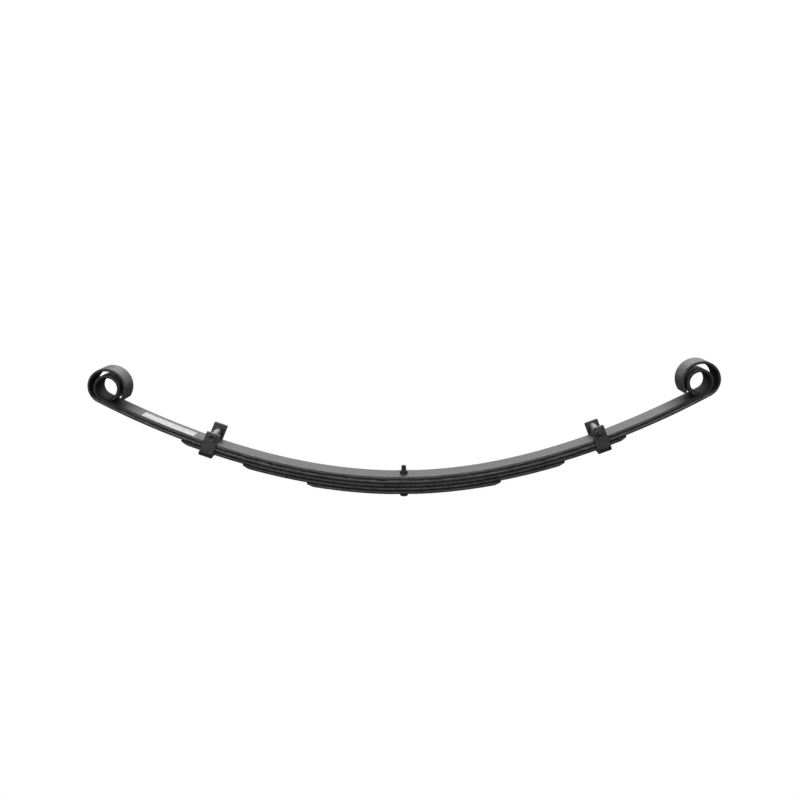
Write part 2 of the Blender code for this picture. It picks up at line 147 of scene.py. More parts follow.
# Bars and straps
LINE_STEPS = 60
LEAF_STEP = 0.005
ARC_STEP = math.radians(5)
EDGE_RADIUS = 0.0024
STRAP_EDGE_RADIUS = 0.0014
# an edge's radius is at most this share of the bar's thickness
EDGE_RADIUS_LIMIT = 0.46
CORNER_STEPS = 5
END_CHAMFER = 0.0008
TIP_CORNER_RADIUS = 0.0045
STRAP_CORNER_RADIUS = 0.0016
STRAP_STEP = 0.003
STRAP_BEND_STEP = math.radians(9)
# height of the last station of a strap's arm above the start of the bend
STRAP_BEND_LEAD = 0.002
# stations near a bar's end: evenly spaced, round its corners and edges, and the least distance apart
END_STEPS = 8
END_TURN_STEPS = 6
LEAST_STEP = 0.00004
CUTTER_OVERRUN = 0.02
SMOOTH_ANGLE = math.radians(35)

# Where a leaf bends at a pose, as distances from the centre along X
BEND_START = 0.020
BEND_END = 0.340

# Leaf edges lightened, partly as rubbed paint and partly as a painted highlight, and painted shade in the
# grooves between the leaves, from 0 to 1
LEAF_EDGE_WEAR_AND_HIGHLIGHT = {"main_leaf": 0.25, "wrapper_leaf": 1.0}
COVERED_EDGE_WEAR_AND_HIGHLIGHT = 0.1
GROOVE_SHADE = 0.9
# painted shade on the main leaf's top from here towards its eye, and on the inside of the wrap over its first
# stations
EYE_SHADE_START = 0.490
EYE_SHADE_GAIN = 1.4
WRAP_SHADE_STATIONS = 6
# each piece shows another place of the same noise
LEAF_FLOW_SHIFT = 1.7
STRAP_FLOW_SHIFTS = {"left": 4.3, "right": 7.9}

# Fasteners
ROUND_STEPS = 48
THREAD_PITCH = 0.00159
THREAD_DEPTH = 0.00065
THREAD_STEPS = 8
THREAD_CREST_SHARE = 0.4
THREAD_TIP_SLOPE = 0.85
CENTRE_THREAD_START = STACK_HEIGHT - 0.004
CENTRE_TIP_CHAMFER = 0.0016
CENTRE_HEAD_ROUND = 0.0026
CENTRE_HEAD_CHAMFER = 0.0006
# fillet under the centre bolt's head, out and up
CENTRE_NECK = (0.0002, 0.0003)
CLIP_THREAD_LENGTH = 0.006
CLIP_TIP_CHAMFER = 0.0012
SHANK_OVERLAP = 0.001
HEX_CHAMFER_ANGLE = math.radians(30)
HEX_ROUND_SHARE = 0.96
# the round washer face under a bolt's head, and the dish in its top as shares of its round radius
HEX_WASHER_HEIGHT = 0.0005
HEX_DISH_SHARES = (0.80, 0.74)
HEX_DISH_DEPTH = 0.0002
HEX_BORE_CHAMFER = 0.0004
SPACER_CHAMFER = 0.0004
DOME_STEPS = 8
DOME_POLE_SHARE = 0.06
RIVET_SINK_RIM = 0.0006

# Label
LABEL_CORNER_RADIUS = 0.0012
LABEL_EDGE_RADIUS = 0.4 * LABEL_THICKNESS
LABEL_STEP = 0.004

# Studio
KEY_WATTS = 21.0
FRONT_WATTS = 80.0
LIGHT_TARGET = (0.0, 0.0, 0.1)
FLOOR_RADIUS = 9.0
FLOOR_STEPS = 96
FLOOR_DROP = 0.0004
CAMERA_YAW = -0.0126
CAMERA_PITCH = 0.1469
CAMERA_ROLL = -0.0118
CAMERA_DISTANCE = 2.1835
CAMERA_TARGET = (-0.0055, 0.0, 0.17165)

# ---------------------------------------------------------------- materials


def new_material(name):
    material = bpy.data.materials.new(name)
    material.use_nodes = True
    tree = material.node_tree
    return material, tree, tree.nodes["Principled BSDF"]


def add_node(tree, kind, inputs=None, **settings):
    """A node with its settings; an input given as a socket is linked, anything else is its value."""
    node = tree.nodes.new(kind)
    for name, value in settings.items():
        setattr(node, name, value)
    for key, value in (inputs or {}).items():
        if isinstance(value, bpy.types.NodeSocket):
            tree.links.new(value, node.inputs[key])
        else:
            node.inputs[key].default_value = value
    return node


def noise(tree, where, scale, detail=3.0, roughness=0.55):
    inputs = {"Vector": where, "Scale": scale, "Detail": detail, "Roughness": roughness}
    return add_node(tree, "ShaderNodeTexNoise", inputs).outputs["Fac"]


def stretched(tree, where, scales):
    return add_node(tree, "ShaderNodeMapping", {"Vector": where, "Scale": scales}).outputs["Vector"]


def remap(tree, value, low, high, to_low=0.0, to_high=1.0):
    inputs = {"Value": value, "From Min": low, "From Max": high, "To Min": to_low, "To Max": to_high}
    return add_node(tree, "ShaderNodeMapRange", inputs).outputs["Result"]


def maths(tree, operation, first, second):
    return add_node(tree, "ShaderNodeMath", {0: first, 1: second}, operation=operation).outputs[0]


def mix_colour(tree, share, first, second):
    inputs = {"Factor": share, "A": first, "B": second}
    node = tree.nodes.new("ShaderNodeMix")
    node.data_type = "RGBA"
    sockets = {s.name: s for s in node.inputs if s.enabled}
    for key, value in inputs.items():
        if isinstance(value, bpy.types.NodeSocket):
            tree.links.new(value, sockets[key])
        else:
            sockets[key].default_value = value
    return [s for s in node.outputs if s.enabled][0]


def grey(value, warm=0.0):
    """Grey as red, green, blue and alpha, a little redder and less blue by warm."""
    return (value * (1 + warm), value, value * (1 - warm), 1.0)


def link_bump(tree, shader, heights):
    """Bumps one after another; heights are (value, strength, distance) from coarse to fine."""
    normal = None
    for value, strength, distance in heights:
        inputs = {"Height": value, "Strength": strength, "Distance": distance}
        if normal is not None:
            inputs["Normal"] = normal
        normal = add_node(tree, "ShaderNodeBump", inputs).outputs["Normal"]
    tree.links.new(normal, shader.inputs["Normal"])


def surface_place(tree):
    """The piece's own flow attribute: along, across and through the bar, in metres."""
    return add_node(tree, "ShaderNodeAttribute", attribute_name="flow").outputs["Vector"]


def vertex_share(tree, name):
    """One of the piece's attributes from 0 to 1: edge for edges that a material lightens or darkens, and the
    painted shade share for painted shade in the eyes, inside the wrap and in the grooves between leaves.
    """
    return add_node(tree, "ShaderNodeAttribute", attribute_name=name).outputs["Fac"]


def make_paint(name, dark, light, worn_and_highlight, roughness):
    """Satin paint over rolled bar: soft blotches, streaks along the bar and specks; edges lightened partly as
    rubbed paint and partly as a painted highlight; and painted shade, darker and duller, where the piece's
    painted shade share is set.
    """
    material, tree, shader = new_material(name)
    place = surface_place(tree)
    blotches = noise(tree, place, scale=24.0, detail=5.0, roughness=0.6)
    mottle = noise(tree, place, scale=150.0, detail=4.0, roughness=0.6)
    along_bar = stretched(tree, place, (5.0, 210.0, 210.0))
    streaks = noise(tree, along_bar, scale=1.0, detail=4.0, roughness=0.65)
    patches = stretched(tree, place, (60.0, 120.0, 120.0))
    scale_marks = noise(tree, patches, scale=1.0, detail=6.0, roughness=0.7)
    grain = noise(tree, place, scale=1500.0, detail=2.0, roughness=0.5)
    specks = add_node(tree, "ShaderNodeTexVoronoi", {"Vector": place, "Scale": 330.0}).outputs["Distance"]

    tone = maths(tree, "ADD", maths(tree, "MULTIPLY", blotches, 0.5), maths(tree, "MULTIPLY", mottle, 0.5))
    colour = mix_colour(tree, remap(tree, tone, 0.40, 0.61), dark, light)
    streak_share = remap(tree, streaks, 0.50, 0.70, to_high=0.75)
    colour = mix_colour(tree, streak_share, colour, light)
    speck_share = remap(tree, specks, 0.045, 0.085, to_low=0.8, to_high=0.0)
    colour = mix_colour(tree, speck_share, colour, worn_and_highlight)
    edge_patches = remap(tree, scale_marks, 0.42, 0.62)
    # Lighter edges: partly rubbed paint, partly a painted highlight along the rounded edges.
    lighter_edges = maths(tree, "MULTIPLY", maths(tree, "MULTIPLY", vertex_share(tree, "edge"), edge_patches), 0.75)
    colour = mix_colour(tree, lighter_edges, colour, worn_and_highlight)
    # Painted shade: darker, rougher and less glossy where the piece's painted shade share is set, in the
    # eyes, under them, inside the wrap and in the grooves between leaves.
    painted_shade = vertex_share(tree, "painted_shade")
    colour = mix_colour(tree, maths(tree, "MULTIPLY", painted_shade, 0.8), colour, grey(0.010))
    tree.links.new(colour, shader.inputs["Base Color"])

    gloss = remap(tree, tone, 0.3, 0.7, roughness - 0.07, roughness + 0.10)
    gloss = maths(tree, "SUBTRACT", gloss, maths(tree, "MULTIPLY", lighter_edges, 0.08))
    tree.links.new(maths(tree, "ADD", gloss, maths(tree, "MULTIPLY", painted_shade, 0.35)), shader.inputs["Roughness"])
    specular = remap(tree, painted_shade, 0.0, 1.0, to_low=0.42, to_high=0.12)
    tree.links.new(specular, shader.inputs["Specular IOR Level"])
    link_bump(
        tree,
        shader,
        [(scale_marks, 0.60, 0.0012), (streaks, 0.50, 0.0007), (mottle, 0.65, 0.0010), (grain, 0.25, 0.0001)],
    )
    return material


def make_fastener(name, dark, light):
    """Dark phosphated steel, rubbed brighter along its edges."""
    material, tree, shader = new_material(name)
    place = surface_place(tree)
    clouds = noise(tree, place, scale=260.0, detail=4.0, roughness=0.6)
    grain = noise(tree, place, scale=2600.0, detail=3.0, roughness=0.6)
    round_axis = stretched(tree, place, (1600.0, 160.0, 160.0))
    turned = noise(tree, round_axis, scale=1.0, detail=3.0, roughness=0.6)
    colour = mix_colour(tree, remap(tree, clouds, 0.35, 0.68), dark, light)
    lighter_edges = maths(tree, "MULTIPLY", vertex_share(tree, "edge"), remap(tree, clouds, 0.38, 0.60))
    colour = mix_colour(tree, maths(tree, "MULTIPLY", lighter_edges, 0.7), colour, grey(0.20, 0.01))
    tree.links.new(colour, shader.inputs["Base Color"])
    tree.links.new(remap(tree, clouds, 0.3, 0.7, to_low=0.36, to_high=0.52), shader.inputs["Roughness"])
    shader.inputs["Metallic"].default_value = 0.6
    link_bump(tree, shader, [(turned, 0.12, 0.0001), (grain, 0.20, 0.00006)])
    return material


def make_zinc(name):
    """Pale zinc plate: spangle, fine turned lines and chalky patches."""
    material, tree, shader = new_material(name)
    place = surface_place(tree)
    spangle = add_node(tree, "ShaderNodeTexVoronoi", {"Vector": place, "Scale": 420.0}).outputs["Color"]
    spangle = add_node(tree, "ShaderNodeRGBToBW", {"Color": spangle}).outputs["Val"]
    round_axis = stretched(tree, place, (2200.0, 130.0, 130.0))
    lines = noise(tree, round_axis, scale=1.0, detail=3.0, roughness=0.6)
    chalk = noise(tree, place, scale=120.0, detail=5.0, roughness=0.65)
    colour = mix_colour(tree, remap(tree, spangle, 0.2, 0.8), grey(0.20), grey(0.34, 0.01))
    colour = mix_colour(tree, remap(tree, chalk, 0.55, 0.72, to_high=0.6), colour, grey(0.46))
    tree.links.new(colour, shader.inputs["Base Color"])
    tree.links.new(remap(tree, chalk, 0.4, 0.7, to_low=0.30, to_high=0.50), shader.inputs["Roughness"])
    shader.inputs["Metallic"].default_value = 0.75
    link_bump(tree, shader, [(chalk, 0.15, 0.0002), (lines, 0.20, 0.00008)])
    return material


def make_label_stock(name):
    """Plain pale sticker with a fibre grain, a little soiled towards its edges."""
    material, tree, shader = new_material(name)
    place = surface_place(tree)
    threads = stretched(tree, place, (900.0, 2200.0, 900.0))
    fibres = noise(tree, threads, scale=1.0, detail=4.0, roughness=0.65)
    soil = noise(tree, place, scale=75.0, detail=5.0, roughness=0.65)
    colour = mix_colour(tree, remap(tree, soil, 0.35, 0.70), grey(0.88, 0.01), grey(0.58, 0.02))
    colour = mix_colour(tree, remap(tree, fibres, 0.45, 0.75, to_high=0.3), colour, grey(0.42))
    colour = mix_colour(tree, maths(tree, "MULTIPLY", vertex_share(tree, "edge"), 0.35), colour, grey(0.30))
    tree.links.new(colour, shader.inputs["Base Color"])
    tree.links.new(remap(tree, soil, 0.3, 0.7, to_low=0.42, to_high=0.62), shader.inputs["Roughness"])
    link_bump(tree, shader, [(soil, 0.20, 0.0004), (fibres, 0.15, 0.00005)])
    return material


# The fourth colour is for specks and for lightened edges, which are partly rubbed paint and partly a painted
# highlight.
MATERIALS = {
    "leaf_paint": make_paint("leaf_paint_wear_and_painted_light", grey(0.008), grey(0.060), grey(0.20, 0.01), 0.36),
    "clip_paint": make_paint("clip_paint_wear_and_highlight", grey(0.009), grey(0.038), grey(0.15, 0.01), 0.40),
    "dark_fastener": make_fastener("fastener_phosphate", grey(0.006), grey(0.034)),
    "zinc_tube": make_zinc("spacer_zinc"),
    "label_stock": make_label_stock("label_paper"),
}

# ---------------------------------------------------------------- mesh helpers


def add_object(name, shape):
    """A new object in the scene whose mesh is the bmesh."""
    mesh = bpy.data.meshes.new(name)
    shape.to_mesh(mesh)
    shape.free()
    item = bpy.data.objects.new(name, mesh)
    bpy.context.scene.collection.objects.link(item)
    return item


def finish_piece(name, shape, slot):
    """Turns a bmesh from new_shape into a smooth-shaded piece with its material."""
    bmesh.ops.recalc_face_normals(shape, faces=shape.faces)
    piece = add_object(name, shape)
    piece.data.shade_smooth()
    piece.data.set_sharp_from_angle(angle=SMOOTH_ANGLE)
    piece.data.materials.append(MATERIALS[slot])
    return piece


def new_shape():
    """An empty bmesh with the three layers that the materials read."""
    shape = bmesh.new()
    shape.verts.layers.float_vector.new("flow")
    shape.verts.layers.float.new("edge")
    shape.verts.layers.float.new("painted_shade")
    return shape


def shape_layers(shape):
    """The flow, edge and painted shade layers of a bmesh from new_shape."""
    layers = shape.verts.layers
    return layers.float_vector["flow"], layers.float["edge"], layers.float["painted_shade"]


def join_rings(shape, rings, capped=True):
    """Faces between closed rings of equal length, and a cap on each end."""
    for near, far in zip(rings, rings[1:]):
        for i in range(len(near)):
            shape.faces.new((near[i - 1], near[i], far[i], far[i - 1]))
    if capped:
        shape.faces.new(rings[0])
        shape.faces.new(rings[-1])


def bar_section(low, high, thickness, radius, inset=0.0):
    """Rounded section of a flat bar as (across, depth, edge share), taken in by inset."""
    radius = min(radius, thickness * EDGE_RADIUS_LIMIT)
    corners = (
        (low + radius, radius, math.pi),
        (high - radius, radius, 1.5 * math.pi),
        (high - radius, thickness - radius, 0.0),
        (low + radius, thickness - radius, 0.5 * math.pi),
    )
    points = []
    for across, depth, start in corners:
        for i in range(CORNER_STEPS + 1):
            angle = start + math.pi / 2 * i / CORNER_STEPS
            share = math.sin(math.pi * i / CORNER_STEPS)
            reach = max(radius - inset, 0.0)
            points.append((across + reach * math.cos(angle), depth + reach * math.sin(angle), share))
    return points


class Station:
    """One place along a bar: its two lines' points, its edges across and how far it is along.

    inset takes the section in all round, and the last argument is painted shade on the upper side, darker and
    duller, from 0 to 1.
    """

    def __init__(self, upper, lower, low, high, along, inset=0.0, painted_shade=0.0):
        self.upper = upper
        self.lower = lower
        self.low = low
        self.high = high
        self.along = along
        self.inset = inset
        self.painted_shade = painted_shade


def sweep_bar(
    name, stations, slot, radius, to_world, flow_shift=0.0, flow_sign=1, edge_weight=1.0, groove_shade=(0.0, 0.0)
):
    """Bar through its stations; to_world turns (u, v, across) into a place in the world.

    The last argument is painted shade along the long edges of the upper and the lower side, in the grooves
    where the leaves meet.
    """
    shape = new_shape()
    flow, edge, painted_shade = shape_layers(shape)
    rings = []
    for station in stations:
        through = station.lower - station.upper
        thickness = through.length
        ring = []
        for across, depth, share in bar_section(station.low, station.high, thickness, radius, station.inset):
            point = station.upper + through * (depth / thickness)
            vert = shape.verts.new(to_world(point.x, point.y, across))
            vert[flow] = (flow_sign * station.along + flow_shift, across + flow_shift, depth)
            # Edge share, scaled for each bar: the paints lighten these edges, partly as rubbed paint and
            # partly as a painted highlight, and the label darkens them.
            vert[edge] = share * edge_weight
            # Painted shade: the station's share on the upper side, and painted shade in the grooves along the
            # long edges.
            on_upper = depth < thickness / 2
            upper_shade = station.painted_shade if on_upper else 0.0
            vert[painted_shade] = max(upper_shade, share * groove_shade[0 if on_upper else 1])
            ring.append(vert)
        rings.append(ring)
    join_rings(shape, rings)
    return finish_piece(name, shape, slot)


def end_marks(length, radius):
    """Distances from a bar's end, far to near, closer together where its corners and edges turn."""
    marks = [length * i / END_STEPS for i in range(END_STEPS + 1)]
    for turn in (END_CHAMFER, radius):
        for i in range(END_TURN_STEPS + 1):
            marks.append(turn * (1 - math.cos(math.pi / 2 * i / END_TURN_STEPS)))
    kept = []
    for mark in sorted(marks, reverse=True):
        if mark <= length and (not kept or kept[-1] - mark > LEAST_STEP):
            kept.append(mark)
    if kept[-1] > 0:
        kept[-1] = 0.0
    return kept


def corner_pull(distance, radius):
    """How far a bar's edge is pulled in at a distance from its end, for a rounded corner."""
    if distance >= radius:
        return 0.0
    return radius - math.sqrt(max(radius**2 - (radius - distance) ** 2, 0.0))


def carry_layers(old, new):
    """Gives the cut mesh the flow, edge and painted shade values of the surface that it was cut from."""
    places = [vert.co for vert in old.vertices]
    faces = [face.vertices[:] for face in old.polygons]
    tree = BVHTree.FromPolygons(places, faces)
    found = []
    for vert in new.vertices:
        place, _, index, _ = tree.find_nearest(vert.co)
        corners = faces[index]
        weights = poly_3d_calc([places[i] for i in corners], place)
        found.append((corners, weights))
    for name, field in (("flow", "vector"), ("edge", "value"), ("painted_shade", "value")):
        source = old.attributes[name].data
        target = new.attributes[name].data
        for vert, (corners, weights) in zip(target, found):
            values = [getattr(source[i], field) * share for i, share in zip(corners, weights)]
            total = values[0]
            for value in values[1:]:
                total = total + value
            setattr(vert, field, total)


def even_shading(piece):
    """Keeps the flats flat next to the rounded edges."""
    normals = piece.modifiers.new("even_shading", "WEIGHTED_NORMAL")
    normals.keep_sharp = True


def combine(piece, other, operation):
    """Joins the other object to the piece's mesh, or takes it away, and removes that object."""
    modifier = piece.modifiers.new("combine", "BOOLEAN")
    modifier.operation = operation
    modifier.object = other
    bpy.context.view_layer.update()
    graph = bpy.context.evaluated_depsgraph_get()
    mesh = bpy.data.meshes.new_from_object(piece.evaluated_get(graph))
    piece.modifiers.clear()
    piece.data = mesh
    bpy.data.objects.remove(other, do_unlink=True)


def cut_hole(piece, cutter):
    """Cuts the cutter out of the piece's mesh and keeps the values of its layers."""
    uncut = piece.data
    combine(piece, cutter, "DIFFERENCE")
    carry_layers(uncut, piece.data)


def make_cutter(radius, low, high, place=None):
    """Cylinder on Z from low to high, moved by place if it is given."""
    shape = bmesh.new()
    bmesh.ops.create_cone(
        shape,
        cap_ends=True,
        segments=ROUND_STEPS,
        radius1=radius,
        radius2=radius,
        depth=high - low,
        matrix=Matrix.Translation((0.0, 0.0, (high + low) / 2)),
    )
    cutter = add_object("cutter", shape)
    if place is not None:
        cutter.matrix_world = place
    return cutter


def place_mesh(piece, matrix):
    """Moves the piece's mesh and leaves the object at the origin."""
    piece.data.transform(matrix)
    return piece


# ---------------------------------------------------------------- the leaf line


def leaf_slope(s):
    """Angle of the line at s, in radians, on the +X side."""
    return CENTRE_CURVATURE * s - CURVATURE_FALL * s * s / 2


def leaf_point(s, depth):
    """Point of the XZ side view on the +X side, depth below the main leaf's top."""
    if s <= SEAT_HALF_LENGTH:
        return Vector((s, STACK_HEIGHT - depth))
    step = s / LINE_STEPS
    x = 0.0
    z = STACK_HEIGHT - CENTRE_CURVATURE * SEAT_HALF_LENGTH**2 / 2
    for i in range(LINE_STEPS):
        middle = leaf_slope((i + 0.5) * step)
        x += math.cos(middle) * step
        z += math.sin(middle) * step
    slope = leaf_slope(s)
    return Vector((x + depth * math.sin(slope), z - depth * math.cos(slope)))


def spaced(start, end, step):
    """Evenly spaced values from start to end, about step apart."""
    count = max(2, round((end - start) / step))
    return [start + (end - start) * i / count for i in range(count + 1)]


def arc_point(centre, radius, angle):
    return centre + radius * Vector((math.cos(angle), math.sin(angle)))


def end_frame():
    """Point, outward direction and upward normal where the main leaf's eye starts."""
    slope = leaf_slope(MAIN_HALF_LENGTH)
    outward = Vector((math.cos(slope), math.sin(slope)))
    upward = Vector((-math.sin(slope), math.cos(slope)))
    return leaf_point(MAIN_HALF_LENGTH, 0.0), outward, upward


def turn_corner(station, mark, radius):
    """Pulls a station in at a distance from the bar's end: its corners, and its edges all round."""
    pull = corner_pull(mark, radius)
    station.low += pull
    station.high -= pull
    station.inset = corner_pull(mark, END_CHAMFER)
    return station


def run_stations(index, stop, thickness_at):
    """Stations of a leaf from the centre out to stop; thickness_at gives the bar's thickness at s."""
    top = index * LEAF_PITCH
    half = LEAF_WIDTH / 2
    stations = []
    for s in spaced(0.0, stop, LEAF_STEP):
        upper = leaf_point(s, top)
        lower = leaf_point(s, top + thickness_at(s))
        # Painted shade on the main leaf's top, growing towards its eye.
        shaded = 0.0
        if index == 0 and s > EYE_SHADE_START:
            shaded = (s - EYE_SHADE_START) / (MAIN_HALF_LENGTH - EYE_SHADE_START)
        stations.append(Station(upper, lower, -half, half, s, painted_shade=min(1.0, EYE_SHADE_GAIN * shaded)))
    return stations


def eye_stations():
    """The main leaf's eye, rolled upward from the end of its run."""
    start, _, upward = end_frame()
    centre = start + upward * EYE_RADIUS
    base = leaf_slope(MAIN_HALF_LENGTH) - math.pi / 2
    half = LEAF_WIDTH / 2
    count = round(EYE_INNER_TURN / ARC_STEP)
    stations = []
    for i in range(1, count + 1):
        inner = arc_point(centre, EYE_RADIUS, base + EYE_INNER_TURN * i / count)
        outer = arc_point(centre, EYE_RADIUS + LEAF_THICKNESS, base + EYE_OUTER_TURN * i / count)
        along = MAIN_HALF_LENGTH + EYE_RADIUS * EYE_INNER_TURN * i / count
        # Painted shade all over the inside of the eye.
        stations.append(Station(inner, outer, -half, half, along, painted_shade=1.0))
    return stations


def wrap_stations(side):
    """The second leaf's wrap: a round bend, a flatter bend and a straight tail."""
    end, outward, upward = end_frame()
    radius = WRAP_RADII[side]
    start = end + outward * WRAP_SHIFTS[side] - upward * LEAF_PITCH
    centre = start + upward * radius
    base = leaf_slope(MAIN_HALF_LENGTH) - math.pi / 2
    turned = base + WRAP_TURN
    flat_centre = arc_point(centre, radius - WRAP_FLAT_RADIUS, turned)
    half = LEAF_WIDTH / 2
    turns = [(centre, radius, angle) for angle in spaced(base, turned, ARC_STEP)]
    finish = base + WRAP_END_TURN
    turns += [(flat_centre, WRAP_FLAT_RADIUS, angle) for angle in spaced(turned, finish, ARC_STEP)[1:]]
    stations = []
    along = MAIN_HALF_LENGTH + WRAP_SHIFTS[side]
    for middle, size, angle in turns:
        inner = arc_point(middle, size, angle)
        outer = arc_point(middle, size + WRAP_THICKNESS, angle)
        if stations:
            along += (outer - stations[-1].lower).length
        # Painted shade on the inside of the wrap, rising over its first stations, and all over the inside of
        # its tail.
        shade = min(1.0, len(stations) / WRAP_SHADE_STATIONS)
        stations.append(Station(inner, outer, -half, half, along, painted_shade=shade))
    last = stations[-1]
    tail = Vector((-math.sin(finish), math.cos(finish)))
    for mark in end_marks(WRAP_TAIL, TIP_CORNER_RADIUS)[1:]:
        done = WRAP_TAIL - mark
        inner, outer = last.upper + tail * done, last.lower + tail * done
        place = Station(inner, outer, -half, half, last.along + done, painted_shade=1.0)
        stations.append(turn_corner(place, mark, TIP_CORNER_RADIUS))
    return stations


def tip_stations(index, tip):
    """The ground tip of a shorter leaf: thinner from below, with rounded corners."""
    top = index * LEAF_PITCH
    half = LEAF_WIDTH / 2
    stations = []
    for mark in end_marks(TIP_LENGTH, TIP_CORNER_RADIUS)[1:]:
        s = tip - mark
        thickness = TIP_THICKNESS + (LEAF_THICKNESS - TIP_THICKNESS) * mark / TIP_LENGTH
        place = Station(leaf_point(s, top), leaf_point(s, top + thickness), -half, half, s)
        stations.append(turn_corner(place, mark, TIP_CORNER_RADIUS))
    return stations


def close_end(stations):
    """Adds a chamfered last station to a bar's end."""
    last, before = stations[-1], stations[-2]
    step = (last.upper + last.lower - before.upper - before.lower) / 2
    back = step.normalized() * END_CHAMFER
    upper, lower = last.upper.copy(), last.lower.copy()
    end = Station(upper, lower, last.low, last.high, last.along, END_CHAMFER, last.painted_shade)
    last.upper -= back
    last.lower -= back
    stations.append(end)


def leaf_stations(index, side):
    """Stations of one half of a leaf, from the centre bolt out to its very end."""
    name = LEAF_NAMES[index]
    if name == "main_leaf":
        return run_stations(index, MAIN_HALF_LENGTH, lambda s: LEAF_THICKNESS) + eye_stations()
    if name == "wrapper_leaf":
        thin_from = MAIN_HALF_LENGTH - WRAP_TAPER_LENGTH

        def thickness_at(s):
            share = max(0.0, (s - thin_from) / WRAP_TAPER_LENGTH)
            return LEAF_THICKNESS + (WRAP_THICKNESS - LEAF_THICKNESS) * share

        return run_stations(index, MAIN_HALF_LENGTH, thickness_at) + wrap_stations(side)
    tip = TIP_ENDS[name]
    return run_stations(index, tip - TIP_LENGTH, lambda s: LEAF_THICKNESS) + tip_stations(index, tip)


def make_leaf_half(index, side):
    name = LEAF_NAMES[index]
    sign = 1 if side == "right" else -1
    stations = leaf_stations(index, side)
    if name == "main_leaf":
        close_end(stations)
    # Leaf edges lightened partly as rubbed paint and partly as a painted highlight, and painted shade in the
    # grooves along the long edges.
    piece = sweep_bar(
        f"{name}_bar_{side}",
        stations,
        "leaf_paint",
        EDGE_RADIUS,
        lambda u, v, across: (sign * u, across, v),
        flow_shift=LEAF_FLOW_SHIFT * index,
        flow_sign=sign,
        edge_weight=LEAF_EDGE_WEAR_AND_HIGHLIGHT.get(name, COVERED_EDGE_WEAR_AND_HIGHLIGHT),
        groove_shade=(0.0 if name in LEAF_EDGE_WEAR_AND_HIGHLIGHT else GROOVE_SHADE, GROOVE_SHADE),
    )
    low, high = -CUTTER_OVERRUN, STACK_HEIGHT + CUTTER_OVERRUN
    cut_hole(piece, make_cutter(CENTRE_BOLT_RADIUS + RUNNING_GAP, low, high))
    if name == "main_leaf":
        cut_hole(piece, make_cutter(SPOT_FACE_RADIUS, STACK_HEIGHT - SPOT_FACE_DEPTH, high))
    if name == "fifth_leaf":
        cut_hole(piece, make_cutter(SPOT_FACE_RADIUS, low, SPOT_FACE_DEPTH))
    return piece


# ---------------------------------------------------------------- fasteners


def add_ring(shape, reach, height, share):
    """Closed ring about Z; reach, height and share are functions of the angle round it."""
    flow, edge, _ = shape_layers(shape)
    ring = []
    for i in range(ROUND_STEPS):
        angle = 2 * math.pi * i / ROUND_STEPS
        u, v = reach(angle) * math.cos(angle), reach(angle) * math.sin(angle)
        vert = shape.verts.new((u, v, height(angle)))
        vert[flow] = (height(angle), u, v)
        vert[edge] = share(angle)
        ring.append(vert)
    return ring


def hex_reach(angle, flat_radius):
    """Distance from a hexagon's middle to its side, at an angle from the middle of a side."""
    folded = (angle + math.pi / 6) % (math.pi / 3) - math.pi / 6
    return flat_radius / math.cos(folded)


def make_hex(name, across_flats, low, high, bore=0.0, washer=False):
    """Hexagon on Z with the curved chamfers that a turned corner leaves.

    It has a bore, or else a dished upper face. Its lower face is chamfered, or is a round washer face.
    """
    flat_radius = across_flats / 2
    round_radius = flat_radius * HEX_ROUND_SHARE
    rise = math.tan(HEX_CHAMFER_ANGLE)
    shape = new_shape()

    def corner(angle):
        return hex_reach(angle, flat_radius)

    def drop(angle):
        return max(0.0, corner(angle) - round_radius) * rise

    def round_ring(radius, height, share):
        return add_ring(shape, lambda a: radius, lambda a: height, lambda a: share)

    def hex_ring(height, share):
        return add_ring(shape, corner, height, lambda a: share)

    rings = []
    if bore > 0:
        rings.append(round_ring(bore + HEX_BORE_CHAMFER, low, 0.2))
    if washer:
        rings.append(round_ring(round_radius, low, 0.3))
        rings.append(round_ring(round_radius, low + HEX_WASHER_HEIGHT, 0.3))
        rings.append(hex_ring(lambda a: low + HEX_WASHER_HEIGHT, 1.0))
    else:
        rings.append(round_ring(round_radius, low, 0.6))
        rings.append(hex_ring(lambda a: low + drop(a), 1.0))
    rings.append(hex_ring(lambda a: (low + high) / 2, 0.35))
    rings.append(hex_ring(lambda a: high - drop(a), 1.0))
    rings.append(round_ring(round_radius, high, 0.6))
    if bore > 0:
        rings.append(round_ring(bore + HEX_BORE_CHAMFER, high, 0.2))
        rings.append(round_ring(bore, high - HEX_BORE_CHAMFER, 0.5))
        rings.append(round_ring(bore, low + HEX_BORE_CHAMFER, 0.5))
        rings.append(rings[0])
    else:
        rim, floor = HEX_DISH_SHARES
        rings.append(round_ring(round_radius * rim, high, 0.2))
        rings.append(round_ring(round_radius * floor, high - HEX_DISH_DEPTH, 0.0))
    join_rings(shape, rings, capped=bore == 0)
    return finish_piece(name, shape, "dark_fastener")


def turned_rings(shape, profile):
    """Rings about Z; profile is (radius, height, edge share) along the outline."""
    rings = []
    for radius, height, share in profile:
        ring = add_ring(
            shape, lambda a, r=radius: r, lambda a, h=height: h, lambda a, share=share: share
        )
        rings.append(ring)
    return rings


def make_turned(name, profile, slot, closed=False):
    """Solid of revolution about Z; a closed profile has no ends to cap."""
    shape = new_shape()
    rings = turned_rings(shape, profile)
    if closed:
        rings.append(rings[0])
    join_rings(shape, rings, capped=not closed)
    return finish_piece(name, shape, slot)


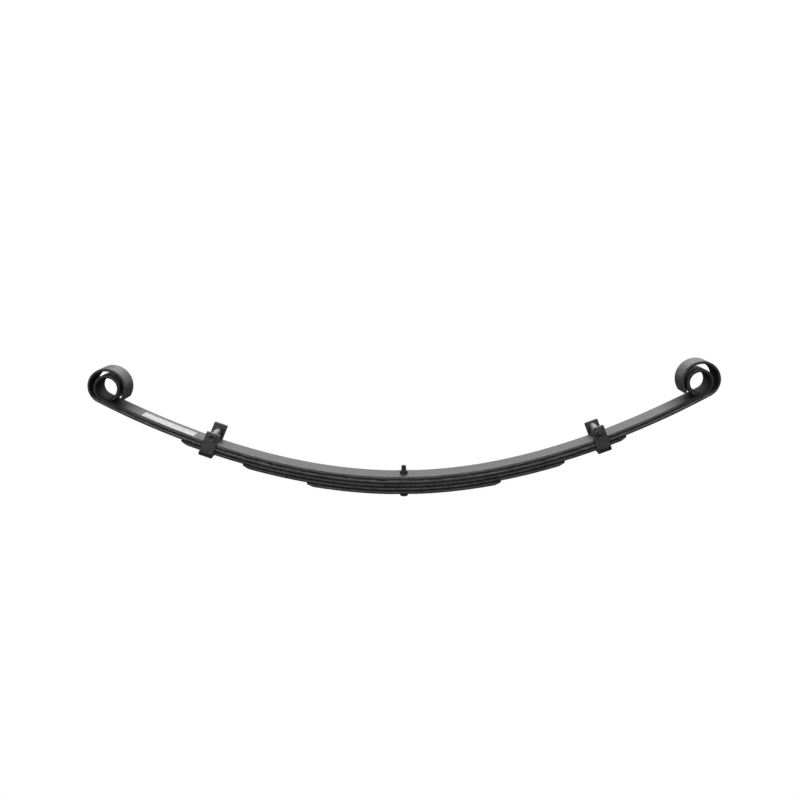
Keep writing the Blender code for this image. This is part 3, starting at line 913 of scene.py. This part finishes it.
def thread_rings(shape, radius, low, high, tip_chamfer):
    """Rings of a helical thread about Z, which fades in at its start and is chamfered at its tip."""

    def reach(angle, height):
        turn = (height / THREAD_PITCH - angle / (2 * math.pi)) % 1.0
        ridge = abs(2 * turn - 1)
        fade = min(1.0, max(0.0, (height - low) / THREAD_PITCH))
        out = radius - THREAD_DEPTH * ridge * fade
        past = height - (high - tip_chamfer)
        if past > 0:
            out = min(out, radius - past * THREAD_TIP_SLOPE)
        return out

    def crest(angle, height):
        return max(0.0, 1 - (radius - reach(angle, height)) / (THREAD_CREST_SHARE * THREAD_DEPTH))

    rings = []
    for height in spaced(low, high, THREAD_PITCH / THREAD_STEPS):
        ring = add_ring(
            shape, lambda a, h=height: reach(a, h), lambda a, h=height: h, lambda a, h=height: crest(a, h)
        )
        rings.append(ring)
    return rings


def make_threaded(name, profile, thread_low, thread_high, radius, tip_chamfer):
    """A turned head and shank (profile, from the head up), with a helical thread on its end."""
    shape = new_shape()
    rings = turned_rings(shape, profile)
    rings += thread_rings(shape, radius, thread_low, thread_high, tip_chamfer)
    join_rings(shape, rings)
    return finish_piece(name, shape, "dark_fastener")


def dome(radius, base, height):
    """Profile of a round head that hangs from its base, from its rim to near its pole."""
    points = []
    for i in range(DOME_STEPS):
        angle = math.pi / 2 * i / DOME_STEPS
        points.append((radius * math.cos(angle), base - height * math.sin(angle), 0.5 if i < 2 else 0.1))
    points.append((radius * DOME_POLE_SHARE, base - height, 0.1))
    return points


def make_centre_bolt():
    """The centre bolt, its head under the pack, and its nut on the main leaf."""
    head_top = SPOT_FACE_DEPTH - RUNNING_GAP
    head_bottom = head_top - CENTRE_HEAD_HEIGHT
    tip = STACK_HEIGHT + CENTRE_BOLT_RISE
    neck_width, neck_height = CENTRE_NECK
    profile = []
    for i in range(END_TURN_STEPS + 1):
        angle = math.pi / 2 * i / END_TURN_STEPS
        radius = CENTRE_HEAD_RADIUS - CENTRE_HEAD_ROUND * (1 - math.sin(angle))
        profile.append((radius, head_bottom + CENTRE_HEAD_ROUND * (1 - math.cos(angle)), 0.6))
    profile.append((CENTRE_HEAD_RADIUS, head_top - CENTRE_HEAD_CHAMFER, 0.5))
    profile.append((CENTRE_HEAD_RADIUS - CENTRE_HEAD_CHAMFER, head_top, 0.8))
    profile.append((CENTRE_BOLT_RADIUS + neck_width, head_top, 0.0))
    profile.append((CENTRE_BOLT_RADIUS, head_top + neck_height, 0.0))
    bolt = make_threaded(
        "centre_bolt_threaded", profile, CENTRE_THREAD_START, tip, CENTRE_BOLT_RADIUS, CENTRE_TIP_CHAMFER
    )
    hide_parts("centre_bolt")
    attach(bolt, "middle")
    low = STACK_HEIGHT - SPOT_FACE_DEPTH + RUNNING_GAP
    high = low + CENTRE_NUT_HEIGHT
    bore = CENTRE_BOLT_RADIUS + RUNNING_GAP
    nut = make_hex("centre_hex_nut", CENTRE_NUT_ACROSS_FLATS, low, high, bore=bore)
    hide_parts("centre_nut")
    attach(nut, "middle")


# ---------------------------------------------------------------- rebound clips


def clip_matrix(side):
    """World place of a clip's frame, with its X inboard along the leaf and its Z off the main leaf."""
    station = CLIP_STATIONS[side]
    place = leaf_point(station, 0.0)
    tilt = Matrix.Rotation(-leaf_slope(station), 4, "Y")
    right = Matrix.Translation((place.x, 0.0, place.y)) @ tilt
    half_turn = Matrix.Rotation(math.pi, 4, "Z")
    if side == "right":
        return right @ half_turn
    return half_turn @ right @ half_turn


def lean_shift(side, height):
    """How far inboard the leaning strap has moved at a height over the main leaf."""
    return CLIP_LEANS[side] * (height + CLIP_LEAVES * LEAF_PITCH)


def strap_lines(side):
    """Inner and outer points of the strap's U, from the head's ear round to the nut's ear."""
    inside = LEAF_WIDTH / 2 + CLIP_SIDE_GAP
    floor = -(CLIP_LEAVES * LEAF_PITCH)
    head_ear, nut_ear = CLIP_EAR_HEIGHTS[side]
    pairs = []

    def arm(y_sign, heights):
        for height in heights:
            inner = Vector((y_sign * inside, height))
            outer = Vector((y_sign * (inside + CLIP_THICKNESS), height))
            pairs.append((inner, outer))

    def bend(centre, start):
        for angle in spaced(start, start + math.pi / 2, STRAP_BEND_STEP):
            inner = arc_point(centre, CLIP_BEND, angle)
            outer = arc_point(centre, CLIP_BEND + CLIP_THICKNESS, angle)
            pairs.append((inner, outer))

    ear_depth = CLIP_LENGTH / 2
    head_tops = [head_ear - mark for mark in end_marks(ear_depth, STRAP_CORNER_RADIUS)]
    nut_tops = [nut_ear - mark for mark in end_marks(ear_depth, nut_corner_radius(side))]
    arm_end = floor + CLIP_BEND + STRAP_BEND_LEAD
    arm(-1, head_tops[::-1] + spaced(head_ear - ear_depth, arm_end, STRAP_STEP)[1:])
    bend(Vector((-inside + CLIP_BEND, floor + CLIP_BEND)), math.pi)
    bend(Vector((inside - CLIP_BEND, floor + CLIP_BEND)), 1.5 * math.pi)
    arm(1, spaced(arm_end, nut_ear - ear_depth, STRAP_STEP)[:-1] + nut_tops)
    return pairs


def nut_corner_radius(side):
    """The nut's ear has one rounded corner on one of the two clips."""
    return ROUNDED_EAR_RADIUS if side == ROUNDED_EAR_SIDE else STRAP_CORNER_RADIUS


def strap_stations(side):
    """Stations of the strap, with rounded corners at the tops of its two ears."""
    half = CLIP_LENGTH / 2
    head_ear, nut_ear = CLIP_EAR_HEIGHTS[side]
    along = 0.0
    stations = []
    for inner, outer in strap_lines(side):
        if stations:
            along += (outer - stations[-1].lower).length
        on_nut_side = inner.x > 0
        mark = max(0.0, (nut_ear if on_nut_side else head_ear) - max(inner.y, outer.y))
        low = -half + corner_pull(mark, STRAP_CORNER_RADIUS)
        high = half - corner_pull(mark, nut_corner_radius(side) if on_nut_side else STRAP_CORNER_RADIUS)
        stations.append(Station(inner, outer, low, high, along, corner_pull(mark, END_CHAMFER)))
    return stations


def laid_along_y(side):
    """Place of something made on +Z, laid along +Y on the axis of the clip's bolt."""
    shift = Vector((lean_shift(side, CLIP_BOLT_HEIGHT), 0.0, CLIP_BOLT_HEIGHT))
    return Matrix.Translation(shift) @ Matrix.Rotation(-math.pi / 2, 4, "X")


def make_strap(side):
    strap = sweep_bar(
        f"{side}_strap",
        strap_stations(side),
        "clip_paint",
        STRAP_EDGE_RADIUS,
        lambda u, v, across: (across + lean_shift(side, v), u, v),
        flow_shift=STRAP_FLOW_SHIFTS[side],
    )
    reach = LEAF_WIDTH
    cut_hole(strap, make_cutter(CLIP_BOLT_RADIUS + RUNNING_GAP, -reach, reach, laid_along_y(side)))
    floor = -(CLIP_LEAVES * LEAF_PITCH)
    low, high = floor - CLIP_THICKNESS - CUTTER_OVERRUN, floor + CUTTER_OVERRUN
    cut_hole(strap, make_cutter(RIVET_RADIUS + RUNNING_GAP, low, high))
    even_shading(strap)
    return strap


def make_clip_bolt(side, outside):
    """Hex head on the clip's -Y side, and a thread that ends past the nut."""
    face = outside + RUNNING_GAP
    bolt_end = face + CLIP_NUT_HEIGHT + CLIP_BOLT_STICKOUT
    head_end = face + CLIP_HEAD_HEIGHT
    bolt = make_hex(f"{side}_strap_bolt", CLIP_HEX_ACROSS_FLATS, face, head_end, washer=True)
    place_mesh(bolt, Matrix.Rotation(math.pi, 4, "X"))
    profile = [(CLIP_BOLT_RADIUS, -face - SHANK_OVERLAP, 0.0), (CLIP_BOLT_RADIUS, 0.0, 0.0)]
    thread_low = outside - CLIP_THREAD_LENGTH
    shank = make_threaded("shank", profile, thread_low, bolt_end, CLIP_BOLT_RADIUS, CLIP_TIP_CHAMFER)
    combine(bolt, shank, "UNION")
    return bolt


def make_spacer(side, inside):
    """The tube between the strap's ears, with small chamfers on its ends."""
    bore = CLIP_BOLT_RADIUS + RUNNING_GAP
    end = inside - RUNNING_GAP
    chamfer = SPACER_CHAMFER
    profile = [
        (bore, end - chamfer, 0.3),
        (bore + chamfer, end, 0.8),
        (SPACER_RADIUS - chamfer, end, 0.8),
        (SPACER_RADIUS, end - chamfer, 0.8),
        (SPACER_RADIUS, 0.0, 0.0),
        (SPACER_RADIUS, -end + chamfer, 0.8),
        (SPACER_RADIUS - chamfer, -end, 0.8),
        (bore + chamfer, -end, 0.8),
        (bore, -end + chamfer, 0.3),
    ]
    return make_turned(f"{side}_spacer_tube", profile, "zinc_tube", closed=True)


def make_rivet(side):
    """A sunk head in the third leaf's top, and a round head under the strap."""
    leaf_top = -(CLIP_LEAVES - 1) * LEAF_PITCH
    base = -(CLIP_LEAVES * LEAF_PITCH) - CLIP_THICKNESS - RUNNING_GAP
    profile = [
        (RIVET_SINK_RADIUS * 0.5, leaf_top, 0.0),
        (RIVET_SINK_RADIUS, leaf_top, 0.3),
        (RIVET_SINK_RADIUS, leaf_top - RIVET_SINK_RIM, 0.3),
        (RIVET_RADIUS, leaf_top - RIVET_SINK_DEPTH, 0.0),
        (RIVET_RADIUS, base, 0.0),
    ]
    profile += dome(RIVET_HEAD_RADIUS, base, RIVET_HEAD_HEIGHT)
    return make_turned(f"{side}_strap_rivet", profile, "clip_paint")


def make_clip(side):
    """One clip, made in the clip's frame and then moved to its place on the spring."""
    inside = LEAF_WIDTH / 2 + CLIP_SIDE_GAP
    outside = inside + CLIP_THICKNESS
    face = outside + RUNNING_GAP
    laid = laid_along_y(side)
    strap = make_strap(side)
    bolt = place_mesh(make_clip_bolt(side, outside), laid)
    nut_end = face + CLIP_NUT_HEIGHT
    bore = CLIP_BOLT_RADIUS + RUNNING_GAP
    nut = place_mesh(make_hex(f"{side}_strap_nut", CLIP_HEX_ACROSS_FLATS, face, nut_end, bore=bore), laid)
    spacer = place_mesh(make_spacer(side, inside), laid)
    rivet = make_rivet(side)
    nodes = {strap: "strap", bolt: "bolt", nut: "nut", spacer: "spacer", rivet: "rivet"}
    for piece, node in nodes.items():
        place_mesh(piece, clip_matrix(side))
        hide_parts(f"{side}_clip_{node}")
        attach(piece, f"{side}_end")


# ---------------------------------------------------------------- label


def make_label():
    """A plain sticker on the main leaf, with rounded corners."""
    stations = []
    corner = LABEL_CORNER_RADIUS
    marks = spaced(LABEL_START, LABEL_END, LABEL_STEP)
    marks += [LABEL_START + corner * i / 4 for i in range(1, 4)]
    marks += [LABEL_END - corner * i / 4 for i in range(1, 4)]
    for s in sorted(marks):
        upper = leaf_point(s, -LABEL_LIFT - LABEL_THICKNESS)
        lower = leaf_point(s, -LABEL_LIFT)
        pull = corner_pull(min(s - LABEL_START, LABEL_END - s), corner)
        stations.append(Station(upper, lower, LABEL_NEAR_Y + pull, LABEL_FAR_Y - pull, s))
    label = sweep_bar(
        "plain_label", stations, "label_stock", LABEL_EDGE_RADIUS, lambda u, v, across: (-u, across, v)
    )
    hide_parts("label")
    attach(label, "left_end")


# ---------------------------------------------------------------- assembly


def cut_rivet_hole(leaf, side):
    """Hole for the clip's rivet through the lowest leaf that the clip holds."""
    low = -(CLIP_LEAVES * LEAF_PITCH) - CUTTER_OVERRUN
    high = -(CLIP_LEAVES - 1) * LEAF_PITCH + CUTTER_OVERRUN
    cut_hole(leaf, make_cutter(RIVET_RADIUS + RUNNING_GAP, low, high, clip_matrix(side)))


def make_leaves():
    """The leaves' halves; the left half also stands for the leaf's centre, or for a whole short leaf."""
    for index, name in enumerate(LEAF_NAMES):
        for side, sign in (("left", -1), ("right", 1)):
            piece = make_leaf_half(index, side)
            if name == "fifth_leaf":
                nodes = [name] if side == "left" else []
            else:
                nodes = [f"{name}_{side}"]
                if side == "left":
                    nodes.append(f"{name}_centre")
            if name == "third_leaf":
                cut_rivet_hole(piece, side)
            even_shading(piece)
            if nodes:
                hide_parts(*nodes)
            start = (sign * BEND_START, 0.0, 0.0)
            end = (sign * BEND_END, 0.0, 0.0)
            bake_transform(piece, "middle", f"{side}_end", start=start, end=end)


def make_floor():
    """Floor that is dim to the object and white to the camera."""
    shape = bmesh.new()
    bmesh.ops.create_circle(shape, cap_ends=True, segments=FLOOR_STEPS, radius=FLOOR_RADIUS)
    floor = add_object("studio_floor", shape)
    floor.location.z = CAD_BOX[0][2] - FLOOR_DROP
    material, tree, shader = new_material("pale_floor")
    place = add_node(tree, "ShaderNodeTexCoord").outputs["Object"]
    soft = noise(tree, place, scale=2.5, detail=2.0)
    tree.links.new(mix_colour(tree, soft, grey(0.07), grey(0.09)), shader.inputs["Base Color"])
    shader.inputs["Roughness"].default_value = 0.9
    shader.inputs["Specular IOR Level"].default_value = 0.1
    white = add_node(tree, "ShaderNodeEmission", {"Color": grey(1.0), "Strength": 1.0})
    ray = add_node(tree, "ShaderNodeLightPath").outputs["Is Camera Ray"]
    both = add_node(
        tree, "ShaderNodeMixShader", {0: ray, 1: shader.outputs["BSDF"], 2: white.outputs["Emission"]}
    )
    tree.links.new(both.outputs["Shader"], tree.nodes["Material Output"].inputs["Surface"])
    floor.data.materials.append(material)


def make_world():
    """Soft room: bright above and behind the spring, dim in front, and white to the camera."""
    world = bpy.data.worlds.new("studio")
    bpy.context.scene.world = world
    world.use_nodes = True
    tree = world.node_tree
    tree.nodes.clear()
    direction = add_node(tree, "ShaderNodeTexCoord").outputs["Generated"]
    axes = add_node(tree, "ShaderNodeSeparateXYZ", {"Vector": direction}).outputs
    back = remap(tree, axes["Y"], 0.0, 0.8, to_low=0.04, to_high=0.62)
    above = remap(tree, axes["Z"], 0.3, 1.0, to_high=0.80)
    strength = maths(tree, "ADD", back, above)
    lit = add_node(tree, "ShaderNodeBackground", {"Color": grey(1.0), "Strength": strength})
    seen = add_node(tree, "ShaderNodeBackground", {"Color": grey(1.0), "Strength": 1.05})
    ray = add_node(tree, "ShaderNodeLightPath").outputs["Is Camera Ray"]
    both = add_node(
        tree, "ShaderNodeMixShader", {0: ray, 1: lit.outputs["Background"], 2: seen.outputs["Background"]}
    )
    output = add_node(tree, "ShaderNodeOutputWorld")
    tree.links.new(both.outputs["Shader"], output.inputs["Surface"])


def add_softbox(name, place, size, energy):
    """Rectangular light at place that faces LIGHT_TARGET; size is its two sides."""
    light = bpy.data.lights.new(name, "AREA")
    light.shape = "RECTANGLE"
    light.size, light.size_y = size
    light.energy = energy
    item = bpy.data.objects.new(name, light)
    bpy.context.scene.collection.objects.link(item)
    item.location = place
    item.rotation_euler = (Vector(LIGHT_TARGET) - Vector(place)).to_track_quat("-Z", "Y").to_euler()


def make_lights():
    add_softbox("key_above_behind", place=(0.3, 1.9, 1.5), size=(2.4, 1.0), energy=KEY_WATTS)
    add_softbox("front_fill", place=(-0.4, -3.4, 0.75), size=(4.2, 0.7), energy=FRONT_WATTS)


def make_camera():
    """Camera that looks at its target along +Y, turned by yaw, tilted down by pitch and rolled."""
    yaw, pitch, roll = CAMERA_YAW, CAMERA_PITCH, CAMERA_ROLL
    forward = Vector((math.sin(yaw) * math.cos(pitch), math.cos(yaw) * math.cos(pitch), -math.sin(pitch)))
    level = Vector((math.cos(yaw), -math.sin(yaw), 0.0))
    up = level.cross(forward)
    right = math.cos(roll) * level + math.sin(roll) * up
    over = math.cos(roll) * up - math.sin(roll) * level
    data = bpy.data.cameras.new("camera")
    data.sensor_width = 36.0
    data.lens = 53.0
    data.clip_end = 40.0
    camera = bpy.data.objects.new("camera", data)
    bpy.context.scene.collection.objects.link(camera)
    matrix = Matrix((right, over, -forward)).transposed().to_4x4()
    matrix.translation = Vector(CAMERA_TARGET) - forward * CAMERA_DISTANCE
    camera.matrix_world = matrix
    bpy.context.scene.camera = camera


make_camera()
make_world()
make_lights()
make_floor()
make_leaves()
make_centre_bolt()
for clip_side in ("left", "right"):
    make_clip(clip_side)
make_label()
bpy.context.scene.view_settings.view_transform = "Standard"
